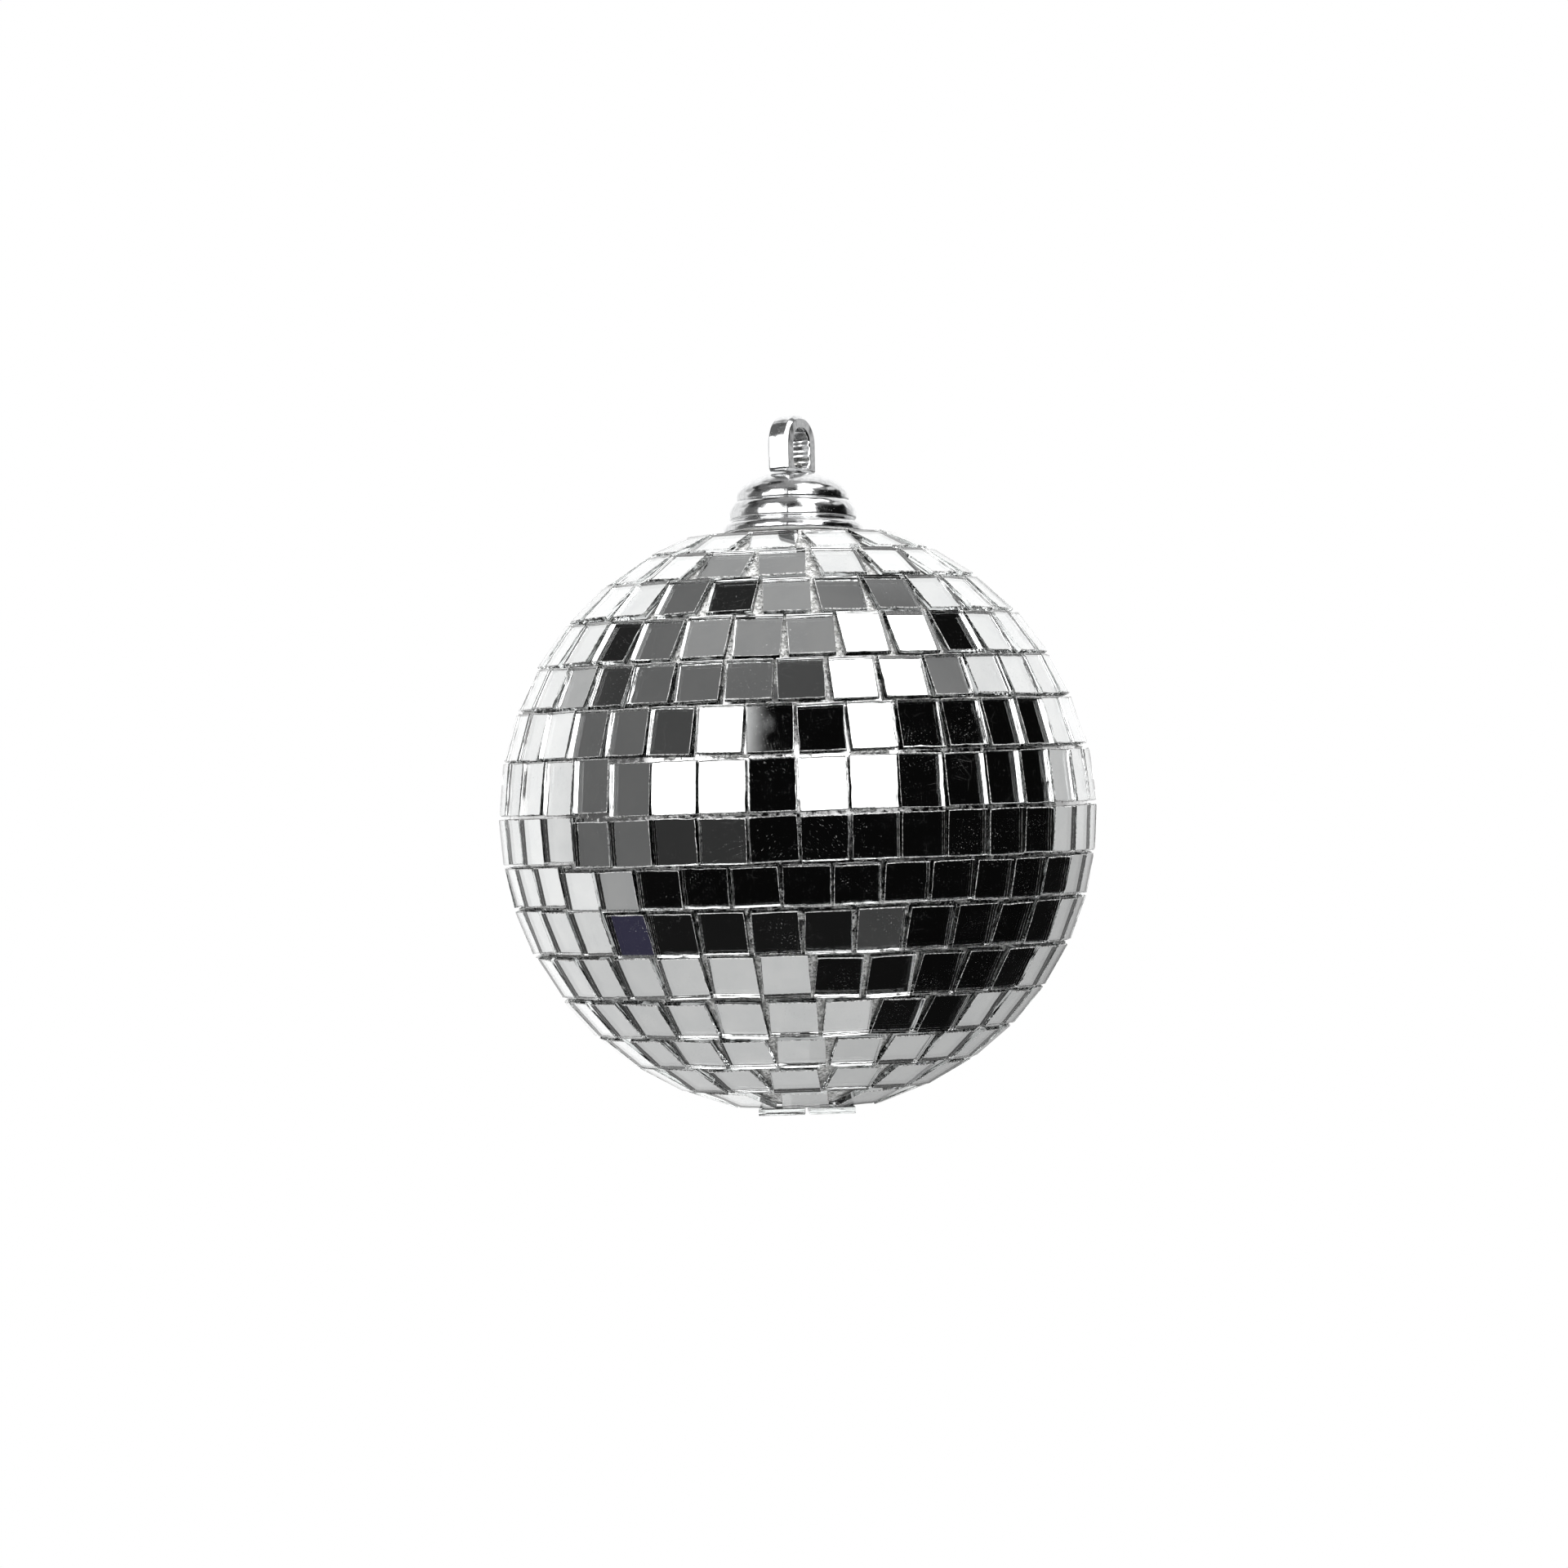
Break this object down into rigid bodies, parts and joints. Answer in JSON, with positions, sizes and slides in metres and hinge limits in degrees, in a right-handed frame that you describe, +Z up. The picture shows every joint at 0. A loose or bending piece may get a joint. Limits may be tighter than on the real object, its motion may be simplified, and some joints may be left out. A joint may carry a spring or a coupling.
{
  "type": "mirror ball",
  "caption": "Small hanging mirror ball: rows of square glass mirror tiles on a foam core, with a stepped chrome cap and an eye it spins under.",
  "frame": {"origin": "the point at the top of the eye's hole where a hanging cord bears, on the swivel axis", "axes": "+Z up along the swivel axis, -Y towards the front, +X to the right seen from the front"},
  "size_m": [0.0648, 0.0649, 0.0762],
  "materials": {
    "foam_core": "matte white expanded polystyrene foam",
    "mirror_strip_01": "silvered glass tiles on backing tape",
    "mirror_strip_02": "silvered glass tiles on backing tape",
    "mirror_strip_03": "silvered glass tiles on backing tape",
    "mirror_strip_04": "silvered glass tiles on backing tape",
    "mirror_strip_05": "silvered glass tiles on backing tape",
    "mirror_strip_06": "silvered glass tiles on backing tape",
    "mirror_strip_07": "silvered glass tiles on backing tape",
    "mirror_strip_08": "silvered glass tiles on backing tape",
    "mirror_strip_09": "silvered glass tiles on backing tape",
    "mirror_strip_10": "silvered glass tiles on backing tape",
    "mirror_strip_11": "silvered glass tiles on backing tape",
    "mirror_strip_12": "silvered glass tiles on backing tape",
    "mirror_strip_13": "silvered glass tiles on backing tape",
    "mirror_strip_14": "silvered glass tiles on backing tape",
    "mirror_strip_15": "silvered glass tiles on backing tape",
    "pole_patch": "silvered glass tiles on backing tape",
    "cap": "bright chrome plating over moulded plastic",
    "hanging_eye": "bright chrome plating over moulded plastic",
    "swivel_rivet": "zinc-plated steel",
    "rivet_washer": "zinc-plated steel"
  },
  "bodies": {
    "hanger": {"hanging_eye": "hanging_eye", "swivel_rivet": "swivel_rivet", "rivet_washer": "rivet_washer"},
    "ball": {"foam_core": "foam_core", "mirror_strip_01": "mirror_strip_01", "mirror_strip_02": "mirror_strip_02", "mirror_strip_03": "mirror_strip_03", "mirror_strip_04": "mirror_strip_04", "mirror_strip_05": "mirror_strip_05", "mirror_strip_06": "mirror_strip_06", "mirror_strip_07": "mirror_strip_07", "mirror_strip_08": "mirror_strip_08", "mirror_strip_09": "mirror_strip_09", "mirror_strip_10": "mirror_strip_10", "mirror_strip_11": "mirror_strip_11", "mirror_strip_12": "mirror_strip_12", "mirror_strip_13": "mirror_strip_13", "mirror_strip_14": "mirror_strip_14", "mirror_strip_15": "mirror_strip_15", "pole_patch": "pole_patch", "cap": "cap"}
  },
  "joints": [
    {"name": "ball_spin", "type": "hinge", "parent": "hanger", "child": "ball", "pos_m": [0, 0, -0.005], "axis": [0, 0, 1], "continuous": true}
  ]
}
